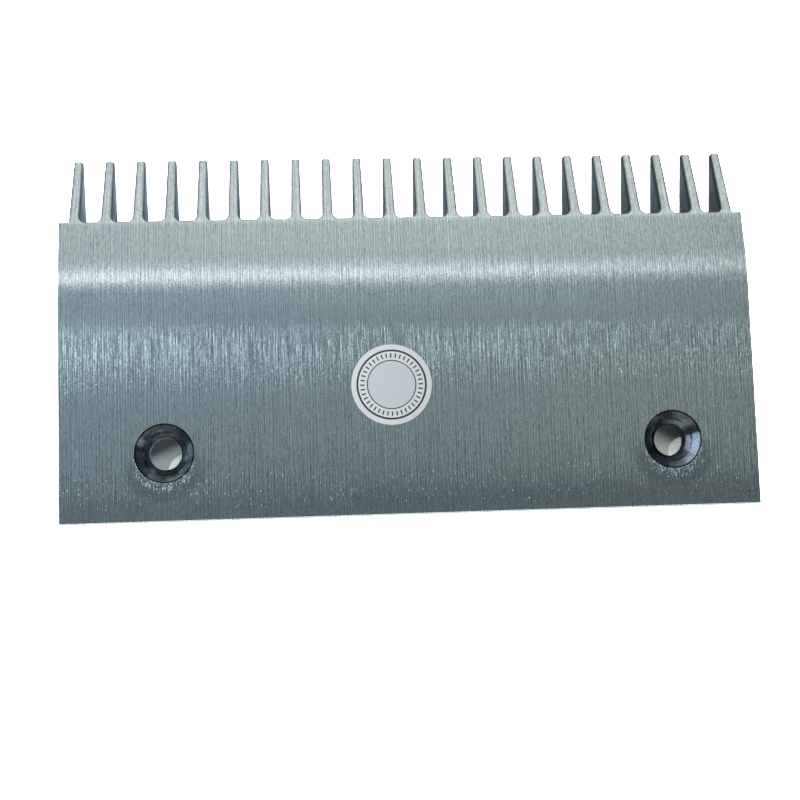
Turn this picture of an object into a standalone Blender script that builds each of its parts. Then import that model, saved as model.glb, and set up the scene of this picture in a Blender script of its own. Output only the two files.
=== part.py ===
"""Escalator comb plate: a cast aluminium segment with a brushed tread face, and the round label stuck on it.

Metres, +Z up, +X along the width, +Y towards the teeth. The origin is under the middle of the plate, level
with the underside of the ribs.
"""

import math

import bmesh
import bpy

MM = 0.001

# Teeth
TOOTH_COUNT = 22
TOOTH_PITCH = 9.068 * MM
TOOTH_LENGTH = 20.3 * MM
TOOTH_ROOT_WIDTH = 2.95 * MM
TOOTH_TIP_WIDTH = 2.5 * MM
TOOTH_SLOPE = math.radians(22.8)
TIP_THICKNESS = 1.65 * MM
NOSE_RADIUS = 0.6 * MM
TIP_CORNER = 0.55 * MM
GAP_CORNER_RADIUS = 1.7 * MM
SHOULDER_CORNER_RADIUS = 0.5 * MM

# Plate
SEGMENT_CLEARANCE = 0.6 * MM
BODY_DEPTH = 86.2 * MM
PLATE_THICKNESS = 8.0 * MM
RAMP_LENGTH = 15.7 * MM
RAMP_SLOPE = math.radians(9.5)
CREASE_RADIUS = 70.0 * MM
TOOTH_CREASE_RADIUS = 12.0 * MM
REAR_EDGE_RADIUS = 0.4 * MM
EDGE_BREAK = 0.2 * MM

# Ribs that carry the teeth back under the ramp
RIB_DEPTH = 15.6 * MM
RIB_FLAT_LENGTH = 9.0 * MM
RIB_RUNOUT_LENGTH = 11.0 * MM
RIB_RUNOUT_RADIUS = 6.0 * MM
RIB_HEEL_RADIUS = 30.0 * MM
GROOVE_ROOF_STEP = 0.5 * MM

# Screw holes
HOLE_SPACING = 145.0 * MM
HOLE_OFFSET = 2.25 * MM
HOLE_FROM_REAR = 19.3 * MM
BORE_RADIUS = 4.6 * MM
SINK_RADIUS = 8.4 * MM
SINK_HALF_ANGLE = math.radians(45)
TOOL_RING_DEPTH = 2.3 * MM
TOOL_RING_STEP = 0.12 * MM
BORE_EXIT_CHAMFER = 0.3 * MM
HOLE_SIDES = 48

# Label
LABEL_RADIUS = 11.5 * MM
LABEL_THICKNESS = 0.15 * MM
LABEL_FROM_REAR = 37.05 * MM
LABEL_OFFSET = -5.85 * MM
LABEL_SIDES = 72
LABEL_GAP = 0.3 * MM

# Worked out from the sizes above
PLATE_WIDTH = TOOTH_COUNT * TOOTH_PITCH - SEGMENT_CLEARANCE
TOTAL_DEPTH = BODY_DEPTH + TOOTH_LENGTH
REAR_Y = -TOTAL_DEPTH / 2
ROOT_Y = REAR_Y + BODY_DEPTH
TIP_Y = REAR_Y + TOTAL_DEPTH
CREASE_Y = ROOT_Y - RAMP_LENGTH
TREAD_Z = RIB_DEPTH
SEAT_Z = TREAD_Z - PLATE_THICKNESS
ROOT_Z = TREAD_Z - RAMP_LENGTH * math.tan(RAMP_SLOPE)
TIP_Z = ROOT_Z - TOOTH_LENGTH * math.tan(TOOTH_SLOPE)
RIB_FLAT_Y = ROOT_Y - RIB_FLAT_LENGTH
RIB_START_Y = RIB_FLAT_Y - RIB_RUNOUT_LENGTH

# How the meshes are made
OVERCUT = 5.0 * MM
WELD = 0.001 * MM
SHARP_ANGLE = math.radians(30)


def make_material(name, colour, metallic, roughness):
    material = bpy.data.materials.new(name)
    material.use_nodes = True
    shader = material.node_tree.nodes["Principled BSDF"]
    shader.inputs["Base Color"].default_value = (*colour, 1.0)
    shader.inputs["Metallic"].default_value = metallic
    shader.inputs["Roughness"].default_value = roughness
    return material


def make_collection(name):
    collection = bpy.data.collections.new(name)
    bpy.context.scene.collection.children.link(collection)
    return collection


def rounded_outline(corners):
    """Points round a closed outline whose corners are (a, b, radius, steps), each radius drawn as an arc."""
    points = []
    for index, (a, b, radius, steps) in enumerate(corners):
        if radius == 0:
            points.append((a, b))
            continue
        before = corners[index - 1]
        after = corners[(index + 1) % len(corners)]
        to_before = math.atan2(before[1] - b, before[0] - a)
        to_after = math.atan2(after[1] - b, after[0] - a)
        opening = (to_after - to_before + math.pi) % (2 * math.pi) - math.pi
        middle = to_before + opening / 2
        centre_reach = radius / math.sin(abs(opening) / 2)
        centre_a = a + centre_reach * math.cos(middle)
        centre_b = b + centre_reach * math.sin(middle)
        start = to_before - math.copysign(math.pi / 2, opening)
        sweep = -math.copysign(math.pi - abs(opening), opening)
        for step in range(steps + 1):
            angle = start + sweep * step / steps
            points.append((centre_a + radius * math.cos(angle), centre_b + radius * math.sin(angle)))
    return points


def outline_mesh(name, points, low, high):
    """A closed mesh of a flat outline in XY, extruded from one height to another."""
    curve = bpy.data.curves.new(name, "CURVE")
    curve.dimensions = "2D"
    curve.fill_mode = "BOTH"
    curve.extrude = (high - low) / 2
    spline = curve.splines.new("POLY")
    spline.points.add(len(points) - 1)
    for point, (a, b) in zip(spline.points, points):
        point.co = (a, b, 0.0, 1.0)
    spline.use_cyclic_u = True
    holder = bpy.data.objects.new(name, curve)
    bpy.context.scene.collection.objects.link(holder)
    graph = bpy.context.evaluated_depsgraph_get()
    mesh = bpy.data.meshes.new_from_object(holder.evaluated_get(graph))
    bpy.data.objects.remove(holder)
    shape = bmesh.new()
    shape.from_mesh(mesh)
    bmesh.ops.remove_doubles(shape, verts=shape.verts, dist=WELD)
    bmesh.ops.dissolve_limit(shape, angle_limit=math.radians(0.01), verts=shape.verts, edges=shape.edges)
    bmesh.ops.translate(shape, verts=shape.verts, vec=(0.0, 0.0, (low + high) / 2))
    bmesh.ops.recalc_face_normals(shape, faces=shape.faces)
    shape.to_mesh(mesh)
    shape.free()
    return mesh


def joined_mesh(name, placed_meshes):
    """One mesh that holds a copy of each given mesh, moved along X by the distance given with it."""
    shape = bmesh.new()
    for mesh, x in placed_meshes:
        first = len(shape.verts)
        shape.from_mesh(mesh)
        shape.verts.ensure_lookup_table()
        bmesh.ops.translate(shape, verts=shape.verts[first:], vec=(x, 0.0, 0.0))
    mesh = bpy.data.meshes.new(name)
    shape.to_mesh(mesh)
    shape.free()
    return mesh


def make_cutter(name, mesh, collection):
    cutter = bpy.data.objects.new(name, mesh)
    cutter.hide_render = True
    cutter.display_type = "WIRE"
    collection.objects.link(cutter)
    return cutter


def cut(part, cutter):
    difference = part.modifiers.new(cutter.name, "BOOLEAN")
    difference.operation = "DIFFERENCE"
    difference.solver = "EXACT"
    difference.object = cutter


def side_section():
    """Outline of the comb from the side, as (Y, Z): along the underside to the tip, then back over the top."""
    return rounded_outline(
        [
            (REAR_Y, SEAT_Z, REAR_EDGE_RADIUS, 2),
            (RIB_START_Y, SEAT_Z, RIB_RUNOUT_RADIUS, 4),
            (RIB_FLAT_Y, 0.0, RIB_RUNOUT_RADIUS, 4),
            (ROOT_Y, 0.0, RIB_HEEL_RADIUS, 2),
            (TIP_Y, TIP_Z - TIP_THICKNESS, NOSE_RADIUS, 3),
            (TIP_Y, TIP_Z, NOSE_RADIUS, 3),
            (ROOT_Y, ROOT_Z, TOOTH_CREASE_RADIUS, 3),
            (CREASE_Y, TREAD_Z, CREASE_RADIUS, 16),
            (REAR_Y, TREAD_Z, REAR_EDGE_RADIUS, 2),
        ]
    )


def gap_half_width(y):
    """Half the space between two teeth, which widens as the teeth taper towards their tips."""
    share = (y - ROOT_Y) / TOOTH_LENGTH
    tooth_width = TOOTH_ROOT_WIDTH + (TOOTH_TIP_WIDTH - TOOTH_ROOT_WIDTH) * share
    return (TOOTH_PITCH - tooth_width) / 2


def gap_plan():
    """Plan of the space between two teeth, about X = 0: a floor with rounded corners, open at the front."""
    tip_x = gap_half_width(TIP_Y)
    right = [
        (gap_half_width(ROOT_Y), ROOT_Y, GAP_CORNER_RADIUS, 5),
        (tip_x, TIP_Y - TIP_CORNER, 0, 0),
        (tip_x + TIP_CORNER / 2, TIP_Y - TIP_CORNER / 4, 0, 0),
        (tip_x + TIP_CORNER, TIP_Y, 0, 0),
        (tip_x + TIP_CORNER, TIP_Y + OVERCUT, 0, 0),
    ]
    left = [(-x, y, radius, steps) for x, y, radius, steps in reversed(right)]
    return rounded_outline(right + left)


def shoulder_plan(side):
    """Plan of the space outside the last tooth, about its centre line. Side is 1 for the right, -1 for the left."""
    root_x = TOOTH_PITCH / 2 - gap_half_width(ROOT_Y)
    tip_x = TOOTH_PITCH / 2 - gap_half_width(TIP_Y)
    outside_x = TOOTH_PITCH / 2 + OVERCUT
    corners = [
        (root_x, ROOT_Y, SHOULDER_CORNER_RADIUS, 4),
        (outside_x, ROOT_Y, 0, 0),
        (outside_x, TIP_Y + OVERCUT, 0, 0),
        (tip_x - TIP_CORNER, TIP_Y + OVERCUT, 0, 0),
        (tip_x - TIP_CORNER, TIP_Y, 0, 0),
        (tip_x - TIP_CORNER / 2, TIP_Y - TIP_CORNER / 4, 0, 0),
        (tip_x, TIP_Y - TIP_CORNER, 0, 0),
    ]
    return rounded_outline([(side * x, y, radius, steps) for x, y, radius, steps in corners])


def groove_plan(inner_x, outer_x):
    """Plan of the space between two ribs, or outside the last one, under the ramp."""
    rear_y = RIB_START_Y - OVERCUT
    front_y = ROOT_Y + GAP_CORNER_RADIUS
    return [(inner_x, rear_y), (outer_x, rear_y), (outer_x, front_y), (inner_x, front_y)]


def comb_spaces():
    """X of each gap between two teeth, and of the outermost teeth on the left and right."""
    outermost = (TOOTH_COUNT - 1) / 2 * TOOTH_PITCH
    gaps = [(index + 1) * TOOTH_PITCH - outermost - TOOTH_PITCH / 2 for index in range(TOOTH_COUNT - 1)]
    return gaps, -outermost, outermost


def make_gap_cutter(collection):
    """The spaces between the teeth and outside the last ones, cut right through from top to bottom."""
    low = -OVERCUT
    high = TREAD_Z + OVERCUT
    gaps, leftmost, rightmost = comb_spaces()
    gap = outline_mesh("gap", gap_plan(), low, high)
    placed = [(gap, x) for x in gaps]
    placed.append((outline_mesh("left_shoulder", shoulder_plan(-1), low, high), leftmost))
    placed.append((outline_mesh("right_shoulder", shoulder_plan(1), low, high), rightmost))
    return make_cutter("gap_cutter", joined_mesh("gap_cutter", placed), collection)


def make_groove_cutter(collection):
    """The spaces between the ribs, from below up to just under the seat."""
    low = -OVERCUT
    high = SEAT_Z - GROOVE_ROOF_STEP
    half_width = gap_half_width(ROOT_Y)
    rib_half_width = TOOTH_PITCH / 2 - half_width
    outside = TOOTH_PITCH / 2 + OVERCUT
    gaps, leftmost, rightmost = comb_spaces()
    groove = outline_mesh("groove", groove_plan(-half_width, half_width), low, high)
    placed = [(groove, x) for x in gaps]
    placed.append((outline_mesh("left_groove", groove_plan(-outside, -rib_half_width), low, high), leftmost))
    placed.append((outline_mesh("right_groove", groove_plan(rib_half_width, outside), low, high), rightmost))
    return make_cutter("groove_cutter", joined_mesh("groove_cutter", placed), collection)


def hole_profile():
    """Half section of the screw hole as (radius, Z), from above the tread face down to below the seat."""
    widen = math.tan(SINK_HALF_ANGLE)
    ring_z = TREAD_Z - TOOL_RING_DEPTH
    ring_radius = SINK_RADIUS - TOOL_RING_DEPTH * widen
    sink_end_z = ring_z - (ring_radius - TOOL_RING_STEP - BORE_RADIUS) / widen
    return [
        (0.0, TREAD_Z + OVERCUT),
        (SINK_RADIUS + OVERCUT * widen, TREAD_Z + OVERCUT),
        (ring_radius, ring_z),
        (ring_radius - TOOL_RING_STEP, ring_z),
        (BORE_RADIUS, sink_end_z),
        (BORE_RADIUS, SEAT_Z + BORE_EXIT_CHAMFER),
        (BORE_RADIUS + BORE_EXIT_CHAMFER + OVERCUT, SEAT_Z - OVERCUT),
        (0.0, SEAT_Z - OVERCUT),
    ]


def make_hole_cutter(name, x, collection):
    points = hole_profile()
    mesh = bpy.data.meshes.new(name)
    edges = [(index, index + 1) for index in range(len(points) - 1)]
    mesh.from_pydata([(radius, 0.0, z) for radius, z in points], edges, [])
    cutter = make_cutter(name, mesh, collection)
    cutter.location = (x, REAR_Y + HOLE_FROM_REAR, 0.0)
    screw = cutter.modifiers.new("turned", "SCREW")
    screw.axis = "Z"
    screw.steps = HOLE_SIDES
    screw.render_steps = HOLE_SIDES
    screw.use_merge_vertices = True
    screw.merge_threshold = WELD
    return cutter


def make_comb_plate(collection, cutters):
    """The whole casting: its side section drawn out along X, then the gaps, grooves and holes cut from it."""
    mesh = outline_mesh("comb_plate", side_section(), -PLATE_WIDTH / 2, PLATE_WIDTH / 2)
    turned = bmesh.new()
    turned.from_mesh(mesh)
    for vertex in turned.verts:
        along, up, across = vertex.co
        vertex.co = (across, along, up)
    turned.to_mesh(mesh)
    turned.free()
    plate = bpy.data.objects.new("comb_plate", mesh)
    collection.objects.link(plate)
    cut(plate, make_gap_cutter(cutters))
    cut(plate, make_groove_cutter(cutters))
    rounding = plate.modifiers.new("broken_edges", "BEVEL")
    rounding.width = EDGE_BREAK
    rounding.segments = 1
    rounding.limit_method = "ANGLE"
    rounding.angle_limit = math.radians(40)
    for side, name in ((-1, "left_hole_cutter"), (1, "right_hole_cutter")):
        cut(plate, make_hole_cutter(name, HOLE_OFFSET + side * HOLE_SPACING / 2, cutters))
    plate.data.materials.append(make_material("brushed_aluminium", (0.52, 0.56, 0.58), 1.0, 0.36))
    return plate


def make_round_label(collection):
    shape = bmesh.new()
    bmesh.ops.create_cone(
        shape,
        cap_ends=True,
        segments=LABEL_SIDES,
        radius1=LABEL_RADIUS,
        radius2=LABEL_RADIUS,
        depth=LABEL_THICKNESS,
    )
    mesh = bpy.data.meshes.new("round_label")
    shape.to_mesh(mesh)
    shape.free()
    label = bpy.data.objects.new("round_label", mesh)
    label.location = (LABEL_OFFSET, REAR_Y + LABEL_FROM_REAR, TREAD_Z + LABEL_GAP + LABEL_THICKNESS / 2)
    label.data.materials.append(make_material("label_paper", (0.78, 0.79, 0.80), 0.0, 0.55))
    collection.objects.link(label)
    return label


def shade(part):
    """Turns the modifiers' result into the part's own mesh, then shades it smooth up to its real edges."""
    bpy.context.view_layer.update()
    graph = bpy.context.evaluated_depsgraph_get()
    finished = bpy.data.meshes.new_from_object(part.evaluated_get(graph))
    part.modifiers.clear()
    part.data = finished
    finished.shade_smooth()
    finished.set_sharp_from_angle(angle=SHARP_ANGLE)


def main():
    for leftover in list(bpy.data.objects):
        bpy.data.objects.remove(leftover)
    pieces = make_collection("escalator_comb_plate")
    cutters = make_collection("cutters")
    shade(make_comb_plate(pieces, cutters))
    shade(make_round_label(pieces))


main()
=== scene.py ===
import math

import bpy
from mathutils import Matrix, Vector


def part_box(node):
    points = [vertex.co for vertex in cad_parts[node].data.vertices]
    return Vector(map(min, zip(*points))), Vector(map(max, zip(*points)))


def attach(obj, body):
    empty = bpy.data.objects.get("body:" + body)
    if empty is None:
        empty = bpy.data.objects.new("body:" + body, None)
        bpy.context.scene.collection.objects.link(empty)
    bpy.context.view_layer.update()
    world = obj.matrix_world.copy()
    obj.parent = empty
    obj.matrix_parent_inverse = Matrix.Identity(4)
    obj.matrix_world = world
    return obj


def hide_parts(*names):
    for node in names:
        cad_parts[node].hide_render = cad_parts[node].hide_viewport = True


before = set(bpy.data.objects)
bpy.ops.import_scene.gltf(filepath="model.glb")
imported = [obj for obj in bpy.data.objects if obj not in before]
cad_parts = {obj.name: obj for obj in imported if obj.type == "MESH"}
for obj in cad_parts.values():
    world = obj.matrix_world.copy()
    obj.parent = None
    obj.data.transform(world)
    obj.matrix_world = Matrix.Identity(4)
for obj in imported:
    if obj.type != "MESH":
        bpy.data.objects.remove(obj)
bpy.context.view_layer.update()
print("frame loaded")

mm = 0.001
plateLow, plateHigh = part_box("comb_plate")

# The comb: one casting with a brushed tread, bare cast sides and two machined screw holes
comb = {
    "mergeDistance": 0.002 * mm,
    "smoothAngle": 30,  # degrees
    "crispAngle": 5,
    "treadFacing": 0.8,  # a face whose normal points up more than this is brushed
    "underFacing": -0.9,  # and one that points down more than this is underside
    "holeSpacing": 145 * mm,
    "holeOffset": 2.25 * mm,
    "holeFromRear": 19.3 * mm,
    "sinkRadius": 8.4 * mm,
    "toothLength": 20.3 * mm,
    "toothSlope": 22.8,  # degrees
    "teethFrom": (-2.0 * mm, -1.5 * mm),  # the finish of the teeth sets in here, from their roots
    "rampLength": 15.7 * mm,
    "rampSlope": 9.5,  # degrees
    "creaseReach": 6.9 * mm,  # half the length of the rounded crease and of the bend at the teeth
    "rootReach": 1.8 * mm,
}
holeY = plateLow.y + comb["holeFromRear"]
rootY = plateHigh.y - comb["toothLength"]
creaseY = rootY - comb["rampLength"]
rootZ = plateHigh.z - comb["rampLength"] * math.tan(math.radians(comb["rampSlope"]))


def setInput(tree, socket, value):
    if isinstance(value, bpy.types.NodeSocket):
        tree.links.new(value, socket)
    else:
        socket.default_value = value


def addNode(tree, kind, inputs=None, **settings):
    node = tree.nodes.new(kind)
    for name, value in settings.items():
        setattr(node, name, value)
    for name, value in (inputs or {}).items():
        setInput(tree, node.inputs[name], value)
    return node


def calc(tree, operation, first, second=0.0, third=0.0, clamp=False):
    node = addNode(tree, "ShaderNodeMath", operation=operation, use_clamp=clamp)
    for socket, value in zip(node.inputs, (first, second, third)):
        setInput(tree, socket, value)
    return node.outputs[0]


def calcVector(tree, operation, first, second):
    node = addNode(tree, "ShaderNodeVectorMath", {0: first, 1: second}, operation=operation)
    return node.outputs["Value" if operation == "DOT_PRODUCT" else "Vector"]


def splitXYZ(tree, vector):
    return addNode(tree, "ShaderNodeSeparateXYZ", {"Vector": vector}).outputs


def joinXY(tree, x, y):
    return addNode(tree, "ShaderNodeCombineXYZ", {"X": x, "Y": y}).outputs[0]


def flatLength(tree, x, y):
    flat = joinXY(tree, x, y)
    return addNode(tree, "ShaderNodeVectorMath", {"Vector": flat}, operation="LENGTH").outputs["Value"]


def remap(tree, value, low, high, newLow=0.0, newHigh=1.0, smooth=False):
    inputs = {"Value": value, "From Min": low, "From Max": high, "To Min": newLow, "To Max": newHigh}
    kind = "SMOOTHSTEP" if smooth else "LINEAR"
    return addNode(tree, "ShaderNodeMapRange", inputs, interpolation_type=kind).outputs["Result"]


def noiseField(tree, place, scale, detail, roughness=0.5, dimensions="3D"):
    inputs = {"Vector": place, "Scale": scale, "Detail": detail, "Roughness": roughness}
    return addNode(tree, "ShaderNodeTexNoise", inputs, noise_dimensions=dimensions).outputs


def blendColours(tree, share, first, second):
    node = addNode(tree, "ShaderNodeMix", data_type="RGBA")
    for index, value in ((0, share), (6, first), (7, second)):
        setInput(tree, node.inputs[index], value)
    return node.outputs[2]


# A group that takes a Place and some numbers, and gives numbers
def newGroup(name, numbers, results):
    group = bpy.data.node_groups.new(name, "ShaderNodeTree")
    group.interface.new_socket(name="Place", in_out="INPUT", socket_type="NodeSocketVector")
    for title, value in numbers.items():
        socket = group.interface.new_socket(name=title, in_out="INPUT", socket_type="NodeSocketFloat")
        socket.default_value = value
    for title in results:
        group.interface.new_socket(name=title, in_out="OUTPUT", socket_type="NodeSocketFloat")
    return group, group.nodes.new("NodeGroupInput").outputs, group.nodes.new("NodeGroupOutput").inputs


def useGroup(tree, group, inputs):
    node = tree.nodes.new("ShaderNodeGroup")
    node.node_tree = group
    for name, value in inputs.items():
        setInput(tree, node.inputs[name], value)
    return node.outputs


def newMaterial(name):
    material = bpy.data.materials.new(name)
    material.use_nodes = True
    tree = material.node_tree
    shader = tree.nodes["Principled BSDF"]
    place = addNode(tree, "ShaderNodeTexCoord").outputs["Object"]
    return material, tree, shader, place


# Height is in millimetres
def addBump(tree, shader, height):
    bump = addNode(tree, "ShaderNodeBump", {"Height": height, "Distance": mm, "Strength": 1.0})
    setInput(tree, shader.inputs["Normal"], bump.outputs[0])


# Highlights stretch across the brushing, along U of the piece's map
def layBrushing(tree, shader, anisotropy):
    tangent = addNode(tree, "ShaderNodeTangent", direction_type="UV_MAP", uv_map="brushing").outputs[0]
    setInput(tree, shader.inputs["Tangent"], tangent)
    shader.inputs["Metallic"].default_value = 1.0
    shader.inputs["Anisotropic"].default_value = anisotropy


# Counts strips across and along the brushing, each Width wide and Length long in millimetres
def countStrips(group, given):
    split = splitXYZ(group, given["Place"])
    across = calc(group, "DIVIDE", calc(group, "MULTIPLY", split["X"], 1 / mm), given["Width"])
    along = calc(group, "DIVIDE", calc(group, "MULTIPLY", split["Y"], 1 / mm), given["Length"])
    return across, along


# Fine lines along Y, as a belt leaves them. In each strip a Value between 0 and 1, and a Lean and
# a Side between -1 and 1, change softly. A share of the strips at both sides, neighbours, is taken
# away from each strip, so that they stand out
def makeStripGroup(name, neighbours):
    numbers = {"Width": 0.2, "Length": 3.0, "Seed": 0.0}
    group, given, made = newGroup(name, numbers, ("Value", "Lean", "Side"))
    across, along = countStrips(group, given)
    column = calc(group, "FLOOR", across)

    def columnNoise(offset):
        cell = joinXY(group, calc(group, "ADD", column, offset), given["Seed"])
        draw = addNode(group, "ShaderNodeTexWhiteNoise", {"Vector": cell}, noise_dimensions="2D")
        apart = 1000  # keeps the noise of one strip clear of the next
        spot = joinXY(group, calc(group, "MULTIPLY", draw.outputs["Value"], apart), along)
        return noiseField(group, spot, 1.0, 1.0, dimensions="2D")["Color"]

    field = columnNoise(0.0)
    if neighbours:
        beside = calcVector(group, "ADD", columnNoise(-1.0), columnNoise(1.0))
        inputs = {0: beside, "Scale": -neighbours}
        taken = addNode(group, "ShaderNodeVectorMath", inputs, operation="SCALE").outputs[0]
        field = calcVector(group, "ADD", field, taken)
    parts = splitXYZ(group, field)
    middle, reach = 0.5 - neighbours, 0.2  # where the noise lies
    low, high = middle - reach, middle + reach
    setInput(group, made["Value"], remap(group, parts["X"], low, high))
    setInput(group, made["Lean"], remap(group, parts["Y"], low, high, -1.0, 1.0))
    setInput(group, made["Side"], remap(group, parts["Z"], low, high, -1.0, 1.0))
    return group


# The same lines with soft sides too
def makeStreakGroup():
    numbers = {"Width": 0.3, "Length": 5.0, "Seed": 0.0, "Contrast": 0.16}
    group, given, made = newGroup("beltStreaks", numbers, ("Value",))
    across, along = countStrips(group, given)
    stepAcross, stepAlong = 37.3, 11.9  # from the noise of one seed to that of the next
    across = calc(group, "MULTIPLY_ADD", given["Seed"], stepAcross, across)
    along = calc(group, "MULTIPLY_ADD", given["Seed"], stepAlong, along)
    field = noiseField(group, joinXY(group, across, along), 1.0, 2.0, 0.55, "2D")["Fac"]
    low = calc(group, "SUBTRACT", 0.5, given["Contrast"])
    high = calc(group, "ADD", 0.5, given["Contrast"])
    setInput(group, made["Value"], remap(group, field, low, high))
    return group


# Distance from the axis of the nearer screw hole, in millimetres, and the angle round it
def makeHoleGroup():
    group, given, made = newGroup("holePlace", {}, ("Reach", "Turn"))
    split = splitXYZ(group, given["Place"])
    fromMiddle = calc(group, "SUBTRACT", split["X"], comb["holeOffset"])
    side = calc(group, "SIGN", fromMiddle)
    fromX = calc(group, "SUBTRACT", fromMiddle, calc(group, "MULTIPLY", side, comb["holeSpacing"] / 2))
    fromY = calc(group, "SUBTRACT", split["Y"], holeY)
    setInput(group, made["Reach"], calc(group, "DIVIDE", flatLength(group, fromX, fromY), mm))
    setInput(group, made["Turn"], calc(group, "ARCTAN2", fromY, fromX))
    return group


# Small dark pits, Spacing apart in millimetres, of which only the share Kept shows
def makePitGroup():
    numbers = {"Spacing": 3.0, "Size": 0.12, "Kept": 0.3}
    group, given, made = newGroup("castPits", numbers, ("Mask",))
    scale = calc(group, "DIVIDE", 1 / mm, given["Spacing"])
    inputs = {"Vector": given["Place"], "Scale": scale, "Randomness": 1.0}
    cells = addNode(group, "ShaderNodeTexVoronoi", inputs).outputs
    half = calc(group, "MULTIPLY", given["Size"], 0.5)
    pit = remap(group, cells["Distance"], half, given["Size"], 1.0, 0.0, smooth=True)
    chance = addNode(group, "ShaderNodeSeparateColor", {"Color": cells["Color"]}).outputs["Red"]
    kept = calc(group, "LESS_THAN", chance, given["Kept"])
    setInput(group, made["Mask"], calc(group, "MULTIPLY", pit, kept))
    return group


# How near an edge is: 0 on the open face, rising to about 1 at the edge itself, within width
def nearEdge(tree, width):
    rounded = addNode(tree, "ShaderNodeBevel", {"Radius": width}, samples=8).outputs[0]
    facing = addNode(tree, "ShaderNodeNewGeometry").outputs["True Normal"]
    alike = calcVector(tree, "DOT_PRODUCT", rounded, facing)
    return remap(tree, calc(tree, "ARCCOSINE", alike), 0.0, math.radians(45))


stripGroup = makeStripGroup("beltStrips", 0.0)
crispGroup = makeStripGroup("crispStrips", 0.4)
streakGroup = makeStreakGroup()
holeGroup = makeHoleGroup()
pitGroup = makePitGroup()
print("shader groups made")

tread = {
    "dark": (0.20, 0.255, 0.264, 1),
    "light": (0.585, 0.71, 0.72, 1),
    "pit": (0.05, 0.055, 0.058, 1),
    "pits": {"Spacing": 3.2, "Size": 0.07, "Kept": 0.14},
    "roughnessSpread": 0.05,
    "anisotropy": 1.0,
    # strips: width and length in millimetres, seed, share of the colour
    "fineStrips": (0.15, 1.8, 1, 0.30),
    "longStrips": (0.28, 24.0, 2, 0.38),
    "shortStrips": (0.24, 0.45, 5, 0.16),
    # soft streaks: the same
    "streaks": [(0.42, 60.0, 3, 0.10), (0.60, 16.0, 4, 0.06)],
    "sideLean": 5.0,  # degrees
    "dotLean": -8.0,
    "dotTurn": -0.1,  # degrees for each millimetre towards the teeth
    "dotLeanSpread": 1.3,
    "dotSoft": 0.1,
    # what the belt did from the rear to the teeth: Y in millimetres, contrast of the lines,
    # share of bright dots, roughness
    "bands": [
        (-50, 1.40, 0.0, 0.25),
        (-46, 1.45, 0.16, 0.22),
        (-40, 1.45, 0.16, 0.22),
        (-35, 1.35, 0.0, 0.25),
        (-24, 1.28, 0.0, 0.25),
        (-16, 1.20, 0.05, 0.22),
        (-12, 1.62, 0.2, 0.16),
        (-6, 2.00, 0.1, 0.14),
        (0, 1.95, 0.0, 0.14),
        (3, 1.20, 0.0, 0.15),
        (7, 1.00, 0.0, 0.20),
        (10, 1.00, 0.0, 0.25),
        (13, 1.20, 0.0, 0.25),
        (21, 1.20, 0.0, 0.25),
        (25, 1.00, 0.0, 0.25),
    ],
    # and how far the long and the short strips lean, in degrees
    "leans": [
        (-45, 0.2, 0.2),
        (-22, 0.2, 0.2),
        (-16, 0.5, 0.5),
        (-11, 0.8, 0.8),
        (-5, 0.9, 0.4),
        (0, 0.8, 0.2),
        (3, 0.2, 0.2),
        (10, 0.15, 0.2),
        (13, 0.5, 1.1),
        (21, 0.5, 1.1),
        (25, 0.2, 0.3),
    ],
    "bandWaver": 3.2 * mm,
    "waver": {"Width": 0.55, "Length": 400.0, "Seed": 6},
    "bandScale": 2.0,  # the largest number that a band can hold
    # the edges round the teeth painted dark, as painted shade, and a painted highlight beside them
    "edgeWidth": 1.6 * mm,
    "edge": (0.05, 0.065, 0.07, 1),
    "edgeShadeFrom": (0.34, 0.54),
    "edgeHighlight": (0.85, 0.92, 0.92, 1),
    "edgeHighlightFrom": (0.1, 0.3),
    "edgeHighlightShare": 0.35,
    # the burr round each countersink, and how far the belt dragged it, in millimetres
    "rimReach": 8.45,
    "rimBurr": 0.15,
    "rimDrag": 1.5,
    "rimSoft": 0.15,
    "rimRearward": (0.1, -0.6),  # sine of the angle where it sets in, and where it is full
    "rimColour": (0.38, 0.43, 0.435, 1),
    "rimLean": -4.6,  # degrees
    "wakeReach": 14.0,
    "wakeLean": -4.1,
}


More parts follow.
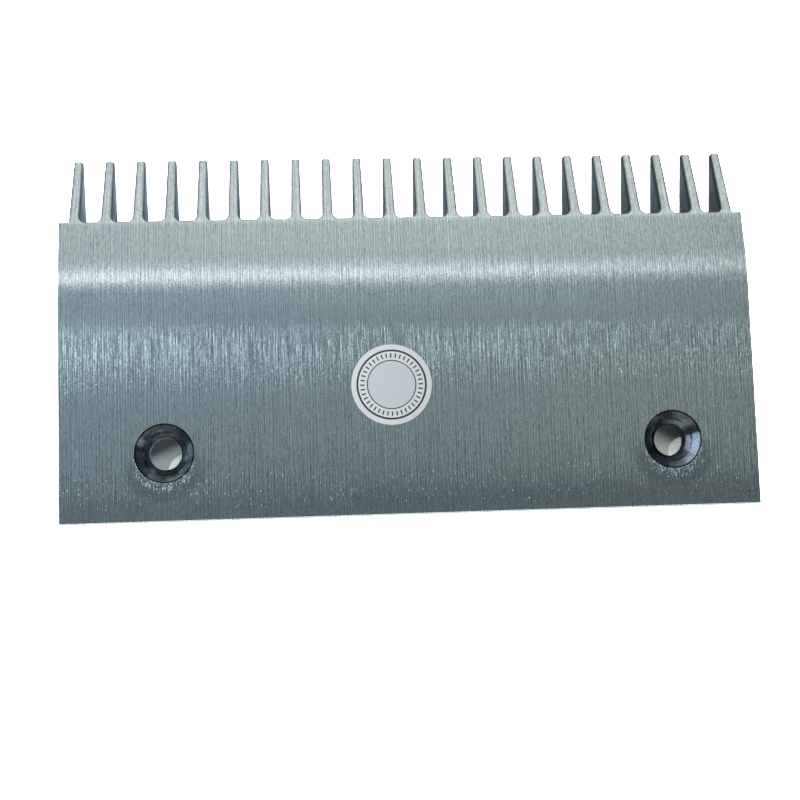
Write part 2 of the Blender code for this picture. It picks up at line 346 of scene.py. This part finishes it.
def makeTreadMaterial():
    material, tree, shader, place = newMaterial("brushedTread")

    def strips(name, group):
        width, length, seed, weight = tread[name]
        inputs = {"Place": place, "Width": width, "Length": length, "Seed": seed}
        return useGroup(tree, group, inputs), weight

    fine, fineWeight = strips("fineStrips", stripGroup)
    long, longWeight = strips("longStrips", crispGroup)
    short, shortWeight = strips("shortStrips", stripGroup)
    share = calc(tree, "MULTIPLY", fine["Value"], fineWeight)
    share = calc(tree, "MULTIPLY_ADD", long["Value"], longWeight, share)
    share = calc(tree, "MULTIPLY_ADD", short["Value"], shortWeight, share)
    for width, length, seed, weight in tread["streaks"]:
        inputs = {"Place": place, "Width": width, "Length": length, "Seed": seed}
        share = calc(tree, "MULTIPLY_ADD", useGroup(tree, streakGroup, inputs)["Value"], weight, share)

    placeY = splitXYZ(tree, place)["Y"]
    waver = useGroup(tree, stripGroup, {"Place": place, **tread["waver"]})["Value"]
    wavered = calc(tree, "MULTIPLY_ADD", waver, tread["bandWaver"], placeY)
    along = remap(tree, wavered, plateLow.y, plateHigh.y)

    # Three numbers that change softly along Y
    def bands(rows):
        ramp = addNode(tree, "ShaderNodeValToRGB", {"Fac": along})
        spots = ramp.color_ramp.elements
        spots.remove(spots[0])
        for y, *numbers in rows:
            spot = spots.new((y * mm - plateLow.y) / (plateHigh.y - plateLow.y))
            spot.color = [number / tread["bandScale"] for number in numbers] + [1]
        spots[-1].color = spots[-2].color
        channels = addNode(tree, "ShaderNodeSeparateColor", {"Color": ramp.outputs["Color"]}).outputs
        return [calc(tree, "MULTIPLY", channel, tread["bandScale"]) for channel in channels]

    contrast, dots, roughness = bands(tread["bands"])
    longLean, shortLean = bands((*row, 0) for row in tread["leans"])[:2]
    share = calc(tree, "MULTIPLY_ADD", calc(tree, "SUBTRACT", share, 0.5), contrast, 0.5, clamp=True)
    metal = blendColours(tree, share, tread["dark"], tread["light"])
    pits = useGroup(tree, pitGroup, {"Place": place, **tread["pits"]})["Mask"]
    metal = blendColours(tree, pits, metal, tread["pit"])
    spread = calc(tree, "MULTIPLY", calc(tree, "SUBTRACT", 0.5, share), 2 * tread["roughnessSpread"])
    setInput(tree, shader.inputs["Roughness"], calc(tree, "ADD", roughness, spread))

    # Edges of the teeth: a painted highlight beside them, and painted shade along them
    edge = nearEdge(tree, tread["edgeWidth"])
    atTeeth = remap(tree, placeY, *(rootY + start for start in comb["teethFrom"]))
    edgeHighlight = calc(tree, "MULTIPLY", remap(tree, edge, *tread["edgeHighlightFrom"]), atTeeth)
    metal = blendColours(tree, calc(tree, "MULTIPLY", edgeHighlight, tread["edgeHighlightShare"]), metal, tread["edgeHighlight"])
    edgeShade = calc(tree, "MULTIPLY", remap(tree, edge, *tread["edgeShadeFrom"]), atTeeth)
    metal = blendColours(tree, edgeShade, metal, tread["edge"])

    # Leaning lines and bright dots
    lean = calc(tree, "MULTIPLY", long["Lean"], calc(tree, "MULTIPLY", longLean, math.radians(1)))
    shortLean = calc(tree, "MULTIPLY", shortLean, math.radians(1))
    lean = calc(tree, "MULTIPLY_ADD", short["Lean"], shortLean, lean)
    bright = calc(tree, "MULTIPLY", short["Value"], fine["Value"])
    dotFrom = calc(tree, "SUBTRACT", 1.0, dots)
    dot = remap(tree, bright, dotFrom, calc(tree, "ADD", dotFrom, tread["dotSoft"]))
    turn = math.radians(tread["dotTurn"]) / mm
    slope = calc(tree, "MULTIPLY_ADD", placeY, turn, math.radians(tread["dotLean"]))
    slope = calc(tree, "MULTIPLY_ADD", fine["Lean"], math.radians(tread["dotLeanSpread"]), slope)
    lean = calc(tree, "MULTIPLY_ADD", dot, slope, lean)

    # The burr behind each countersink, and its drag marks
    hole = useGroup(tree, holeGroup, {"Place": place})
    rearward = remap(tree, calc(tree, "SINE", hole["Turn"]), *tread["rimRearward"])
    ragged = calc(tree, "MULTIPLY", bright, rearward)
    limit = calc(tree, "MULTIPLY_ADD", ragged, tread["rimDrag"], tread["rimReach"] + tread["rimBurr"])
    rim = remap(tree, calc(tree, "SUBTRACT", limit, hole["Reach"]), 0.0, tread["rimSoft"])
    rim = calc(tree, "MULTIPLY", rim, rearward)
    metal = blendColours(tree, rim, metal, tread["rimColour"])
    setInput(tree, shader.inputs["Base Color"], metal)
    wake = remap(tree, hole["Reach"], tread["rimReach"], tread["wakeReach"], 1.0, 0.0)
    wake = calc(tree, "MULTIPLY", wake, rearward)
    for mark, angle in ((rim, tread["rimLean"]), (wake, tread["wakeLean"])):
        mark = calc(tree, "MULTIPLY", mark, fine["Value"])
        lean = calc(tree, "MULTIPLY_ADD", mark, math.radians(angle), lean)
    side = calc(tree, "MULTIPLY_ADD", fine["Side"], math.radians(tread["sideLean"]) / 2, 0.5)
    up = calc(tree, "MULTIPLY_ADD", lean, 0.5, 0.5)
    mapped = addNode(tree, "ShaderNodeCombineColor", {"Red": side, "Green": up, "Blue": 1.0}).outputs[0]
    normal = addNode(tree, "ShaderNodeNormalMap", {"Color": mapped}, uv_map="brushing").outputs[0]
    setInput(tree, shader.inputs["Normal"], normal)
    layBrushing(tree, shader, tread["anisotropy"])
    return material


cast = {
    "dark": (0.27, 0.33, 0.355, 1),
    "light": (0.44, 0.50, 0.53, 1),
    "edge": (0.045, 0.06, 0.066, 1),  # painted shade: a dark line at the tips and along the top of the flanks
    "shade": (0.09, 0.125, 0.14, 1),  # under the upper edges of the teeth, fading over this depth
    "shadeDepth": 3.6 * mm,
    "edgeShadeDepth": 2.6 * mm,
    "roughness": (0.42, 0.58),
    "grain": 0.7,  # millimetres
    "grainHeight": 0.02,
    "grainFrom": (0.3, 0.7),
    "blotchScale": 140.0,
    "blotchShare": 0.6,
    "lightFrom": (0.35, 0.65),
    "tipFacing": (0.45, 0.5),  # a face whose normal points up this much is painted dark as shade
}


def makeCastMaterial():
    material, tree, shader, place = newMaterial("castSides")
    grain = noiseField(tree, place, 1 / (cast["grain"] * mm), 3.0, 0.6)["Fac"]
    blotch = noiseField(tree, place, cast["blotchScale"], 2.0)["Fac"]
    grainPart = calc(tree, "MULTIPLY", grain, 1 - cast["blotchShare"])
    share = calc(tree, "MULTIPLY_ADD", blotch, cast["blotchShare"], grainPart)
    metal = blendColours(tree, remap(tree, share, *cast["lightFrom"]), cast["dark"], cast["light"])
    split = splitXYZ(tree, place)
    beyond = calc(tree, "SUBTRACT", split["Y"], rootY)
    top = calc(tree, "MULTIPLY_ADD", beyond, -math.tan(math.radians(comb["toothSlope"])), rootZ)
    depth = calc(tree, "SUBTRACT", top, split["Z"])
    atTeeth = remap(tree, beyond, *comb["teethFrom"])
    # Painted shade under the upper edges of the teeth, and a darker painted line along the top
    for reach, colour in ((cast["shadeDepth"], cast["shade"]), (cast["edgeShadeDepth"], cast["edge"])):
        shade = calc(tree, "MULTIPLY", remap(tree, depth, 0.0, reach, 1.0, 0.0), atTeeth)
        metal = blendColours(tree, shade, metal, colour)
    # The chamfers at the tips are painted dark as shade
    facing = addNode(tree, "ShaderNodeNewGeometry").outputs["True Normal"]
    tipShade = remap(tree, splitXYZ(tree, facing)["Z"], *cast["tipFacing"])
    setInput(tree, shader.inputs["Base Color"], blendColours(tree, tipShade, metal, cast["edge"]))
    roughness = remap(tree, grain, *cast["grainFrom"], *cast["roughness"])
    setInput(tree, shader.inputs["Roughness"], roughness)
    addBump(tree, shader, calc(tree, "MULTIPLY", grain, cast["grainHeight"]))
    shader.inputs["Metallic"].default_value = 1.0
    return material


sink = {
    # the countersink's metal is darker than the tread's: painted shade in its hollow
    "dark": (0.12, 0.14, 0.145, 1),
    "light": (0.25, 0.29, 0.30, 1),
    "lightFrom": (0.36, 0.68),
    # painted bluish reflection, in random patches
    "blueSheen": (0.18, 0.26, 0.32, 1),
    "blueSheenFrom": (0.5, 0.7),
    "rim": (0.015, 0.02, 0.022, 1),
    "rimShadeFrom": (7.94, 8.06),  # painted shade: the sharp rim is dark from here outwards, in millimetres
    "stepReach": 6.05,  # the small step between the cone and the bore, in millimetres
    "stepWidth": 0.35,
    "stepShade": (0.04, 0.05, 0.055, 1),
    "stepGaps": (0.45, 0.6),
    # painted shade inside the bore
    "boreShade": (0.03, 0.035, 0.037, 1),
    "boreReach": (4.65, 4.75),  # millimetres
    "roughness": (0.16, 0.30),
    "smearScale": 280.0,
    "smearFrom": (0.3, 0.7),
    "ringPitch": 0.22,  # millimetres
    "ringHeight": 0.0012,
    "anisotropy": 0.6,
}


def makeSinkMaterial():
    material, tree, shader, place = newMaterial("machinedHole")
    reach = useGroup(tree, holeGroup, {"Place": place})["Reach"]
    smear = noiseField(tree, place, sink["smearScale"], 3.0, 0.55)
    smears = addNode(tree, "ShaderNodeSeparateColor", {"Color": smear["Color"]}).outputs
    lightShare = remap(tree, smear["Fac"], *sink["lightFrom"])
    metal = blendColours(tree, lightShare, sink["dark"], sink["light"])
    # Painted bluish reflection in random patches
    metal = blendColours(tree, remap(tree, smears["Blue"], *sink["blueSheenFrom"]), metal, sink["blueSheen"])
    fromStep = calc(tree, "ABSOLUTE", calc(tree, "SUBTRACT", reach, sink["stepReach"]))
    step = remap(tree, fromStep, sink["stepWidth"] / 2, sink["stepWidth"], 1.0, 0.0)
    step = calc(tree, "MULTIPLY", step, remap(tree, smears["Green"], *sink["stepGaps"], 1.0, 0.0))
    metal = blendColours(tree, step, metal, sink["stepShade"])
    # Painted shade in the bore
    metal = blendColours(tree, remap(tree, reach, *sink["boreReach"], 1.0, 0.0), metal, sink["boreShade"])
    # Painted shade at the sharp rim
    metal = blendColours(tree, remap(tree, reach, *sink["rimShadeFrom"]), metal, sink["rim"])
    setInput(tree, shader.inputs["Base Color"], metal)
    roughness = remap(tree, smear["Fac"], *sink["smearFrom"], *sink["roughness"])
    setInput(tree, shader.inputs["Roughness"], roughness)
    rings = calc(tree, "SINE", calc(tree, "MULTIPLY", reach, math.tau / sink["ringPitch"]))
    addBump(tree, shader, calc(tree, "MULTIPLY", rings, sink["ringHeight"]))
    layBrushing(tree, shader, sink["anisotropy"])
    return material


def deselectAll():
    bpy.ops.object.select_all(action="DESELECT")


def copyNode(node, name):
    piece = bpy.data.objects.new(name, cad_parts[node].data.copy())
    bpy.context.scene.collection.objects.link(piece)
    deselectAll()
    piece.select_set(True)
    bpy.context.view_layer.objects.active = piece
    bpy.ops.object.mode_set(mode="EDIT")
    bpy.ops.mesh.select_all(action="SELECT")
    bpy.ops.mesh.remove_doubles(threshold=comb["mergeDistance"])
    bpy.ops.object.mode_set(mode="OBJECT")
    bpy.ops.mesh.customdata_custom_splitnormals_clear()
    piece.data.materials.clear()
    return piece


def nearestHole(point):
    side = math.copysign(1, point.x - comb["holeOffset"])
    return Vector((comb["holeOffset"] + side * comb["holeSpacing"] / 2, holeY))


def inHole(face):
    offset = face.center.to_2d() - nearestHole(face.center)
    below = face.center.z < plateHigh.z - comb["mergeDistance"]
    return offset.length < comb["sinkRadius"] and below and face.normal.z > comb["underFacing"]


def onTread(face):
    return face.normal.z > comb["treadFacing"] and not inHole(face)


# Gives the wanted faces the next free material slot
def dressFaces(piece, material, wanted):
    bpy.context.tool_settings.mesh_select_mode = (False, False, True)
    piece.data.materials.append(material)
    piece.active_material_index = len(piece.data.materials) - 1
    for face in piece.data.polygons:
        face.select = wanted(face)
    bpy.ops.object.mode_set(mode="EDIT")
    bpy.ops.object.material_slot_assign()
    bpy.ops.object.mode_set(mode="OBJECT")


# The brushing runs along V on the tread; round a hole V runs round the axis and U down the wall
def layBrushingMap(piece):
    mesh = piece.data
    while mesh.uv_layers:
        mesh.uv_layers.remove(mesh.uv_layers[0])
    uv = mesh.uv_layers.new(name="brushing").data
    for face in mesh.polygons:
        turned = inHole(face)
        if turned:
            axis = nearestHole(face.center)
            middle = face.center.to_2d() - axis
        for loop in face.loop_indices:
            point = mesh.vertices[mesh.loops[loop].vertex_index].co
            if turned:
                arm = point.to_2d() - axis
                turn = middle.angle_signed(arm, 0.0)
                uv[loop].uv = (arm.length - point.z, -turn * comb["sinkRadius"])
            else:
                uv[loop].uv = (point.x, point.y)


# A cut close to each end of a bend keeps the wide faces beyond it flat under smooth shading
def cutBesideBends(piece):
    bpy.ops.object.mode_set(mode="EDIT")
    for middle, reach in ((creaseY, comb["creaseReach"]), (rootY, comb["rootReach"])):
        for y in (middle - reach, middle + reach):
            bpy.ops.mesh.select_all(action="SELECT")
            bpy.ops.mesh.bisect(plane_co=(0, y, 0), plane_no=(0, 1, 0))
    bpy.ops.object.mode_set(mode="OBJECT")


# Walls and bends shade smooth, while the tread ends in crisp edges
def smoothComb(piece):
    bpy.ops.object.shade_smooth_by_angle(angle=math.radians(comb["smoothAngle"]))
    treadEdges = set()
    for face in piece.data.polygons:
        if face.normal.z > comb["treadFacing"]:
            treadEdges.update(face.edge_keys)
    bpy.context.tool_settings.mesh_select_mode = (False, True, False)
    bpy.ops.object.mode_set(mode="EDIT")
    bpy.ops.mesh.select_all(action="DESELECT")
    bpy.ops.mesh.edges_select_sharp(sharpness=math.radians(comb["crispAngle"]))
    bpy.ops.object.mode_set(mode="OBJECT")
    for edge in piece.data.edges:
        edge.select = edge.select and edge.key in treadEdges
    bpy.ops.object.mode_set(mode="EDIT")
    bpy.ops.mesh.mark_sharp()
    bpy.ops.object.mode_set(mode="OBJECT")


def makeComb():
    piece = copyNode("comb_plate", "brushedComb")
    cutBesideBends(piece)
    dressFaces(piece, makeCastMaterial(), lambda face: True)
    dressFaces(piece, makeTreadMaterial(), onTread)
    dressFaces(piece, makeSinkMaterial(), inHole)
    layBrushingMap(piece)
    smoothComb(piece)
    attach(piece, "root")
    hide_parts("comb_plate")


makeComb()
print("comb plate dressed")

labelLow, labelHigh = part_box("round_label")
label = {
    "thickness": 0.15 * mm,
    "lift": 0.01 * mm,
    "sides": 128,
    "edgeRound": 0.05 * mm,
    "smoothAngle": 40,  # degrees
    # ring radii and widths in millimetres
    "outerRing": 9.77,
    "outerRingWidth": 0.55,
    "innerRing": 6.92,
    "innerRingWidth": 0.3,
    "tickMiddle": 8.35,
    "tickLength": 1.25,
    "tickWidth": 0.4,
    "tickCount": 40,
    "inkSoft": 0.05,
    "sheet": (0.74, 0.79, 0.79, 1),
    "disc": (0.60, 0.67, 0.71, 1),
    "ink": (0.012, 0.02, 0.028, 1),
    "roughness": 0.42,
    "fibre": 0.4,  # millimetres
    "fibreFrom": (0.3, 0.7),
    "fibreColour": (0.4, 0.43, 0.45, 1),
    "fibreShare": 0.12,
    "fibreHeight": 0.004,
}


def makePaperMaterial(centre):
    material, tree, shader, place = newMaterial("printedPaper")
    split = splitXYZ(tree, calcVector(tree, "SUBTRACT", place, centre))
    reach = calc(tree, "DIVIDE", flatLength(tree, split["X"], split["Y"]), mm)

    def band(value, middle, width):
        away = calc(tree, "ABSOLUTE", calc(tree, "SUBTRACT", value, middle))
        return remap(tree, away, width / 2 - label["inkSoft"], width / 2 + label["inkSoft"], 1.0, 0.0)

    outer = band(reach, label["outerRing"], label["outerRingWidth"])
    inner = band(reach, label["innerRing"], label["innerRingWidth"])
    turn = calc(tree, "ARCTAN2", split["Y"], split["X"])
    fromTick = calc(tree, "PINGPONG", turn, math.tau / label["tickCount"] / 2)
    tick = band(calc(tree, "MULTIPLY", fromTick, reach), 0.0, label["tickWidth"])
    tick = calc(tree, "MULTIPLY", tick, band(reach, label["tickMiddle"], label["tickLength"]))
    ink = calc(tree, "MAXIMUM", calc(tree, "MAXIMUM", outer, inner), tick)
    inside = calc(tree, "LESS_THAN", reach, label["innerRing"])
    fibre = noiseField(tree, place, 1 / (label["fibre"] * mm), 2.0)["Fac"]
    base = blendColours(tree, inside, label["sheet"], label["disc"])
    fibreShare = remap(tree, fibre, *label["fibreFrom"], 0.0, label["fibreShare"])
    base = blendColours(tree, fibreShare, base, label["fibreColour"])
    setInput(tree, shader.inputs["Base Color"], blendColours(tree, ink, base, label["ink"]))
    addBump(tree, shader, calc(tree, "MULTIPLY", fibre, label["fibreHeight"]))
    shader.inputs["Roughness"].default_value = label["roughness"]
    return material


def makeLabel():
    radius = (labelHigh.x - labelLow.x) / 2
    centre = (
        (labelLow.x + labelHigh.x) / 2,
        (labelLow.y + labelHigh.y) / 2,
        plateHigh.z + label["lift"] + label["thickness"] / 2,
    )
    deselectAll()
    bpy.ops.mesh.primitive_cylinder_add(
        vertices=label["sides"], radius=radius, depth=label["thickness"], location=centre
    )
    piece = bpy.context.object
    piece.name = "paperDisc"
    bpy.ops.object.transform_apply(location=True, rotation=True, scale=True)
    bpy.context.tool_settings.mesh_select_mode = (False, True, False)
    bpy.ops.object.mode_set(mode="EDIT")
    bpy.ops.mesh.select_all(action="DESELECT")
    bpy.ops.object.mode_set(mode="OBJECT")
    for edge in piece.data.edges:
        ends = [piece.data.vertices[index].co.z for index in edge.vertices]
        edge.select = min(ends) > centre[2]
    bpy.ops.object.mode_set(mode="EDIT")
    bpy.ops.mesh.bevel(offset=label["edgeRound"], segments=2)
    bpy.ops.object.mode_set(mode="OBJECT")
    bpy.ops.object.shade_smooth_by_angle(angle=math.radians(label["smoothAngle"]))
    piece.data.materials.append(makePaperMaterial(centre))
    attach(piece, "root")
    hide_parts("round_label")


makeLabel()
print("label made")

floor = {
    "size": 8.0,
    "gap": 0.05 * mm,
    "colour": (0.86, 0.87, 0.87, 1),
    # where metal mirrors it, at the left and the right end of the plate: painted light, brighter and
    # bluer at the left and darker at the right
    "mirrored": ((1.45, 1.70, 1.88, 1), (0.50, 0.56, 0.54, 1)),
    # where the camera sees it beside the plate
    "beside": (7.9, 7.9, 7.9, 1),
    # and in the shadow under the plate, which starts this far inside its outline and is soft
    "shadowInset": 2 * mm,
    "shadowSoft": 5 * mm,
    "shadowFront": 28 * mm,
    # painted shade seen through the left and the right hole: from its near to its far side it fades
    # between two colours, darker at the far side, over a distance in millimetres that starts at the
    # axis and runs towards an angle;
    # the near colours are also the painted shadow under the plate
    "near": ((1.15, 1.08, 0.94, 1), (2.0, 1.95, 1.8, 1)),
    "nearBlend": 50 * mm,  # the two near colours blend this far to both sides of the middle
    "farShade": ((0.24, 0.22, 0.18, 1), (0.30, 0.29, 0.26, 1)),
    "fade": (3.4, 4.2),
    "turn": (115, 60),  # degrees
    "fadeReach": (8.5, 10.5),
    # painted light, a patch as if it fell through the left and the right hole, and how far it lands
    # from the axis
    "lit": ((2.45, 2.4, 2.0, 1), (3.3, 3.2, 2.9, 1)),
    "litX": (4.0 * mm, 7.2 * mm),
    "litY": (-4.15 * mm, -3.1 * mm),
    "litReach": (4.4, 4.6),  # its soft edge, in millimetres
}


def makeFloor():
    deselectAll()
    bpy.ops.mesh.primitive_plane_add(size=floor["size"], location=(0, 0, -floor["gap"]))
    piece = bpy.context.object
    piece.name = "floor"
    material, tree, shader, place = newMaterial("paleFloor")
    tree.nodes.remove(shader)
    split = splitXYZ(tree, place)
    atRight = calc(tree, "GREATER_THAN", split["X"], comb["holeOffset"])

    # One number of a pair at the left hole, the other at the right hole
    def bySide(pair):
        left, right = pair
        return calc(tree, "MULTIPLY_ADD", atRight, right - left, left)

    # Painted shade through each hole, deepening towards its far side, and a painted patch of light
    hole = useGroup(tree, holeGroup, {"Place": place})
    turn = bySide([math.radians(angle) for angle in floor["turn"]])
    along = calc(tree, "COSINE", calc(tree, "SUBTRACT", hole["Turn"], turn))
    along = calc(tree, "MULTIPLY", along, hole["Reach"])
    fade = remap(tree, along, 0.0, bySide(floor["fade"]), smooth=True)
    fade = calc(tree, "MULTIPLY", fade, remap(tree, hole["Reach"], *floor["fadeReach"], 1.0, 0.0))
    nearShare = remap(tree, split["X"], -floor["nearBlend"], floor["nearBlend"])
    near = blendColours(tree, nearShare, *floor["near"])
    through = blendColours(tree, fade, near, blendColours(tree, atRight, *floor["farShade"]))
    shift = joinXY(tree, bySide(floor["litX"]), bySide(floor["litY"]))
    fromLit = useGroup(tree, holeGroup, {"Place": calcVector(tree, "SUBTRACT", place, shift)})["Reach"]
    lit = remap(tree, fromLit, *floor["litReach"], 1.0, 0.0)
    through = blendColours(tree, lit, through, blendColours(tree, atRight, *floor["lit"]))

    # The soft shadow, a rectangle under the plate
    shadowLow, shadowHigh = plateLow.y + floor["shadowInset"], floor["shadowFront"]
    fromMiddle = calc(tree, "SUBTRACT", split["Y"], (shadowLow + shadowHigh) / 2)
    beyondY = calc(tree, "SUBTRACT", calc(tree, "ABSOLUTE", fromMiddle), (shadowHigh - shadowLow) / 2)
    shadowSide = plateHigh.x - floor["shadowInset"]
    beyondX = calc(tree, "SUBTRACT", calc(tree, "ABSOLUTE", split["X"]), shadowSide)
    beyond = calc(tree, "MAXIMUM", beyondX, beyondY)
    outside = remap(tree, beyond, -floor["shadowSoft"], 0.0, smooth=True)
    seen = blendColours(tree, outside, through, floor["beside"])

    light = addNode(tree, "ShaderNodeLightPath").outputs
    mirrored = calc(tree, "MAXIMUM", light["Is Glossy Ray"], light["Is Transmission Ray"])
    # Painted light seen only in reflections: brighter and bluer at the left end, darker at the right
    ends = blendColours(tree, remap(tree, split["X"], plateLow.x, plateHigh.x), *floor["mirrored"])
    colour = blendColours(tree, mirrored, floor["colour"], ends)
    colour = blendColours(tree, light["Is Camera Ray"], colour, seen)
    front = addNode(tree, "ShaderNodeBsdfDiffuse", {"Color": colour}).outputs[0]
    clear = addNode(tree, "ShaderNodeBsdfTransparent").outputs[0]
    behind = addNode(tree, "ShaderNodeNewGeometry").outputs["Backfacing"]
    whole = addNode(tree, "ShaderNodeMixShader", {0: behind, 1: front, 2: clear}).outputs[0]
    tree.links.new(whole, tree.nodes["Material Output"].inputs["Surface"])
    piece.data.materials.append(material)


makeFloor()

# Panels hang over the comb at one height and light it from above; radiance 1 shows white in a mirror
studio = {
    "height": 1.2,
    "roomColour": (0.92, 1.0, 1.06, 1),
    "roomStrength": 0.09,
    # name, middle X, middle Y, size X, size Y, drop below the height, turn in degrees, radiance, tint
    "panels": [
        ("ceiling", 0.0, 1.84, 6.0, 3.72, -0.02, 0, 0.12, (0.94, 1.0, 1.03)),
        ("farPanel", -0.05, 0.78, 1.6, 0.76, 0.0, 0, 0.72, (1.04, 1.0, 0.98)),
        ("farthestPanel", 0.4, 2.16, 2.8, 2.0, 0.0, 0, 1.14, (1.10, 0.99, 0.96)),
        ("rampPanel", 0.2, 1.0, 1.0, 0.5, 0.01, 0, 0.26, (1.04, 1.0, 0.98)),
        ("creaseStrip", -0.53, 0.457, 1.94, 0.135, 0.01, -5, 1.12, (1.1, 1.0, 1.0)),
        ("creaseCore", -0.78, 0.445, 0.9, 0.07, 0.02, -5, 0.5, (1.06, 1.0, 1.02)),
        ("creaseFade", -0.3, 0.58, 2.0, 0.13, 0.01, -5, 0.26, (1.0, 1.0, 1.04)),
        ("hazeStrip", 0.02, 0.295, 1.0, 0.12, 0.01, -5, 0.46, (0.95, 1.0, 1.04)),
        ("nearLeftPanel", -0.8, 0.2, 1.6, 0.44, 0.0, 0, 0.235, (0.86, 1.0, 1.22)),
        ("nearRightPanel", 0.5, 0.27, 1.2, 0.3, 0.0, 0, 0.15, (0.96, 1.0, 0.97)),
        ("rearRightPanel", 0.42, 0.085, 0.3, 0.17, 0.0, 0, 0.54, (1.03, 1.0, 0.86)),
        ("sparkStrip", -0.2, 0.16, 1.4, 0.022, 0.01, 0, 0.8, (0.92, 1.0, 1.03)),
        ("leftSparkStrip", -0.65, 0.179, 0.8, 0.02, 0.02, 0, 1.2, (0.88, 1.0, 1.15)),
        ("dotStrip", -0.3, -0.15, 2.2, 0.06, 0.0, 0, 2.2, (0.9, 1.0, 1.06)),
        ("nearFrontPanel", 0.0, -0.6, 3.0, 0.4, 0.0, 0, 0.6, (1.0, 1.0, 1.0)),
        ("frontPanel", 0.0, -1.7, 3.2, 1.8, 0.0, 0, 1.9, (1.0, 1.0, 1.0)),
        ("lowFrontPanel", 0.0, -3.6, 4.4, 2.0, 0.0, 0, 0.8, (1.0, 1.0, 1.0)),
    ],
    # low windows round the comb: place, size, radiance, tint
    "windows": [
        ("leftWindow", (-1.5, 0.45, 0.42), (1.9, 0.46), 3.2, (0.86, 0.97, 1.12)),
        ("farWindow", (-0.9, 1.7, 0.27), (1.2, 0.4), 3.1, (0.88, 0.97, 1.10)),
        ("farRightWindow", (0.3, 1.7, 0.27), (1.2, 0.4), 1.3, (0.84, 1.0, 1.05)),
        ("rightWindow", (1.2, -0.7, 0.14), (0.5, 0.2), 2.4, (0.98, 1.0, 1.0)),
    ],
}


def addPanel(name, place, size, radiance, tint, turn=0, aim=None):
    deselectAll()
    bpy.ops.object.light_add(type="AREA", location=place)
    lamp = bpy.context.object
    lamp.name = name
    lamp.data.shape = "RECTANGLE"
    lamp.data.size, lamp.data.size_y = size
    lamp.data.energy = radiance * math.pi * size[0] * size[1]
    lamp.data.color = tint
    lamp.visible_camera = False
    lamp.rotation_euler.z = math.radians(turn)
    if aim is not None:
        lamp.rotation_euler = (Vector(aim) - Vector(place)).to_track_quat("-Z", "Y").to_euler()


def makeLight():
    for name, x, y, width, depth, drop, turn, radiance, tint in studio["panels"]:
        addPanel(name, (x, y, studio["height"] - drop), (width, depth), radiance, tint, turn)
    for name, place, size, radiance, tint in studio["windows"]:
        addPanel(name, place, size, radiance, tint, aim=(0, 0, place[2]))
    world = bpy.data.worlds.new("room")
    bpy.context.scene.world = world
    world.use_nodes = True
    tree = world.node_tree
    tree.nodes.clear()
    inputs = {"Color": studio["roomColour"], "Strength": studio["roomStrength"]}
    room = addNode(tree, "ShaderNodeBackground", inputs).outputs[0]
    white = addNode(tree, "ShaderNodeBackground", {"Color": (1, 1, 1, 1), "Strength": 1.0}).outputs[0]
    seen = addNode(tree, "ShaderNodeLightPath").outputs["Is Camera Ray"]
    mixed = addNode(tree, "ShaderNodeMixShader", {0: seen, 1: room, 2: white}).outputs[0]
    addNode(tree, "ShaderNodeOutputWorld", {"Surface": mixed})


camera = {
    "place": (-27.935 * mm, -55.977 * mm, 376.266 * mm),
    "turn": (5.697, -3.677, -1.853),  # degrees
    "lens": 57.442,
    "sensor": 36,
    "clipStart": 10 * mm,
}


def makeCamera():
    deselectAll()
    turn = [math.radians(angle) for angle in camera["turn"]]
    bpy.ops.object.camera_add(location=camera["place"], rotation=turn)
    made = bpy.context.object
    made.data.lens = camera["lens"]
    made.data.sensor_width = camera["sensor"]
    made.data.clip_start = camera["clipStart"]
    bpy.context.scene.camera = made


makeLight()
makeCamera()
bpy.context.scene.view_settings.view_transform = "Standard"
print("stage, light and camera made")
